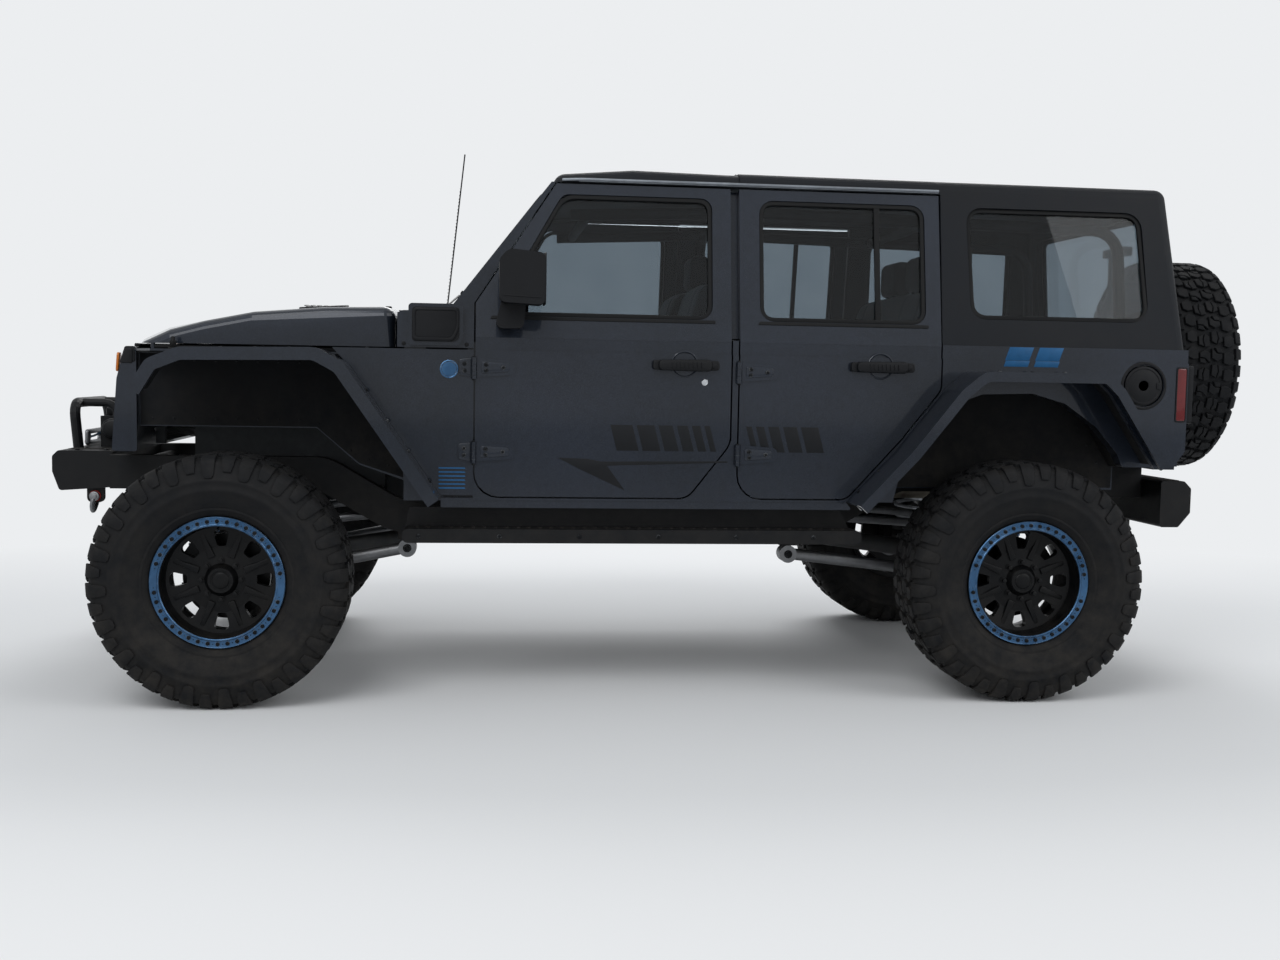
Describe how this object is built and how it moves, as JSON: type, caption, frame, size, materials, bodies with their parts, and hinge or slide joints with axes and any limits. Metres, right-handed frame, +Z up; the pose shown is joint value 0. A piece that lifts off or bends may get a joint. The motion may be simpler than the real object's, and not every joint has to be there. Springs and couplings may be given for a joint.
{
  "type": "lifted off-road four-wheel-drive utility vehicle",
  "caption": "Lifted off-road 4x4 with side doors, hardtop, tube flares, beadlock wheels, winch bumper, rock sliders and a rear-mounted spare.",
  "frame": {"origin": "centre of the footprint box, on the ground under the tyres", "axes": "+X towards the front bumper, +Y to the left side, +Z up"},
  "size_m": [4.8783, 2.0426, 2.2563],
  "materials": {
    "body_paint": "dark grey metallic",
    "top_shell": "grained black",
    "trim_plastic": "textured black",
    "powder_coat": "textured black powder coat",
    "winch_black": "satin black",
    "chassis_black": "satin black",
    "link_steel": "zinc plated",
    "spring_steel": "silver paint",
    "shock_body": "satin",
    "cast_metal": "as cast",
    "exhaust_steel": "heat stained",
    "wheel_black": "satin black",
    "tyre": "dusty rubber",
    "tinted_glass": "tinted",
    "lamp_lens": "clear",
    "cabin_plastic": "grained",
    "seat_cloth": "woven"
  },
  "bodies": {
    "chassis": {"frame": "chassis_black", "rock_sliders": "powder_coat", "front_axle": "chassis_black", "rear_axle": "chassis_black", "control_arms": "link_steel", "coil_springs": "spring_steel", "shock_absorbers": "shock_body", "driveline": "cast_metal", "engine_block": "cast_metal", "exhaust": "exhaust_steel", "fuel_tank": "chassis_black", "tub": "body_paint", "front_fenders": "body_paint", "tube_flares": "body_paint", "grille": "body_paint", "lamps": "lamp_lens", "windshield_frame": "body_paint", "fixed_glass": "tinted_glass", "hardtop": "top_shell", "roof_panels": "top_shell", "front_bumper": "powder_coat", "winch": "winch_black", "rear_bumper": "powder_coat", "dashboard": "cabin_plastic", "seats": "seat_cloth", "roll_bar": "cabin_plastic", "antenna": "trim_plastic"},
    "left_knuckle_body": {"left_knuckle": "cast_metal"},
    "right_knuckle_body": {"right_knuckle": "cast_metal"},
    "steering_linkage": {"steering_rods": "link_steel"},
    "pitman": {"pitman_arm": "link_steel"},
    "front_left_wheel": {"front_left_rim": "wheel_black", "front_left_tyre": "tyre"},
    "front_right_wheel": {"front_right_rim": "wheel_black", "front_right_tyre": "tyre"},
    "rear_left_wheel": {"rear_left_rim": "wheel_black", "rear_left_tyre": "tyre"},
    "rear_right_wheel": {"rear_right_rim": "wheel_black", "rear_right_tyre": "tyre"},
    "hand_wheel": {"steering_wheel": "cabin_plastic"},
    "front_left_door_body": {"front_left_door": "body_paint", "front_left_glass": "tinted_glass", "left_mirror": "trim_plastic"},
    "front_right_door_body": {"front_right_door": "body_paint", "front_right_glass": "tinted_glass", "right_mirror": "trim_plastic"},
    "rear_left_door_body": {"rear_left_door": "body_paint", "rear_left_glass": "tinted_glass"},
    "rear_right_door_body": {"rear_right_door": "body_paint", "rear_right_glass": "tinted_glass"},
    "hood_body": {"hood": "body_paint"},
    "tailgate_body": {"tailgate": "body_paint", "tyre_carrier": "powder_coat", "spare_tyre": "tyre", "spare_rim": "wheel_black"},
    "fuel_flap_body": {"fuel_flap": "trim_plastic"},
    "charge_flap_body": {"charge_flap": "trim_plastic"}
  },
  "joints": [
    {"name": "left_steer", "type": "hinge", "parent": "chassis", "child": "left_knuckle_body", "pos_m": [1.7155, 0.716, 0.46], "axis": [0, 0, 1], "range_deg": [-30, 30]},
    {"name": "right_steer", "type": "hinge", "parent": "chassis", "child": "right_knuckle_body", "pos_m": [1.7155, -0.716, 0.46], "axis": [0, 0, 1], "range_deg": [-30, 30]},
    {"name": "linkage_swing", "type": "hinge", "parent": "left_knuckle_body", "child": "steering_linkage", "pos_m": [1.8805, 0.716, 0.39], "axis": [0, 0, 1], "range_deg": [-30, 30]},
    {"name": "pitman_swing", "type": "hinge", "parent": "chassis", "child": "pitman", "pos_m": [1.7755, 0.351, 0.67], "axis": [0, 0, 1], "range_deg": [-30, 30]},
    {"name": "steering_wheel_turn", "type": "hinge", "parent": "chassis", "child": "hand_wheel", "pos_m": [0.6305, 0.37, 1.3], "axis": [-0.8829, 0, 0.4695], "range_deg": [-450, 450]},
    {"name": "front_left_spin", "type": "hinge", "parent": "left_knuckle_body", "child": "front_left_wheel", "pos_m": [1.7155, 0.857, 0.46], "axis": [0, 1, 0], "continuous": true},
    {"name": "front_right_spin", "type": "hinge", "parent": "right_knuckle_body", "child": "front_right_wheel", "pos_m": [1.7155, -0.857, 0.46], "axis": [0, 1, 0], "continuous": true},
    {"name": "rear_left_spin", "type": "hinge", "parent": "chassis", "child": "rear_left_wheel", "pos_m": [-1.2925, 0.857, 0.46], "axis": [0, 1, 0], "continuous": true},
    {"name": "rear_right_spin", "type": "hinge", "parent": "chassis", "child": "rear_right_wheel", "pos_m": [-1.2925, -0.857, 0.46], "axis": [0, 1, 0], "continuous": true},
    {"name": "front_left_door_hinge", "type": "hinge", "parent": "chassis", "child": "front_left_door_body", "pos_m": [0.8155, 0.8063, 1.08], "axis": [0, 0, -1], "range_deg": [0, 65]},
    {"name": "front_right_door_hinge", "type": "hinge", "parent": "chassis", "child": "front_right_door_body", "pos_m": [0.8155, -0.8063, 1.08], "axis": [0, 0, 1], "range_deg": [0, 65]},
    {"name": "rear_left_door_hinge", "type": "hinge", "parent": "chassis", "child": "rear_left_door_body", "pos_m": [-0.1875, 0.8063, 1.08], "axis": [0, 0, -1], "range_deg": [0, 65]},
    {"name": "rear_right_door_hinge", "type": "hinge", "parent": "chassis", "child": "rear_right_door_body", "pos_m": [-0.1875, -0.8063, 1.08], "axis": [0, 0, 1], "range_deg": [0, 65]},
    {"name": "hood_hinge", "type": "hinge", "parent": "chassis", "child": "hood_body", "pos_m": [1.1055, 0, 1.466], "axis": [0, -1, 0], "range_deg": [0, 50]},
    {"name": "tailgate_hinge", "type": "hinge", "parent": "chassis", "child": "tailgate_body", "pos_m": [-2.0225, -0.612, 1.135], "axis": [0, 0, 1], "range_deg": [0, 90]},
    {"name": "fuel_flap_hinge", "type": "hinge", "parent": "chassis", "child": "fuel_flap_body", "pos_m": [-1.7315, 0.797, 1.218], "axis": [0, 0, -1], "range_deg": [0, 90]},
    {"name": "charge_flap_hinge", "type": "hinge", "parent": "chassis", "child": "charge_flap_body", "pos_m": [1.0455, 0.823, 1.399], "axis": [0, 0, -1], "range_deg": [0, 100]}
  ],
  "couplings": [
    {"joint": "right_steer", "follows": "left_steer", "ratio": 1},
    {"joint": "linkage_swing", "follows": "left_steer", "ratio": -1},
    {"joint": "pitman_swing", "follows": "left_steer", "ratio": 1},
    {"joint": "steering_wheel_turn", "follows": "left_steer", "ratio": 15}
  ]
}
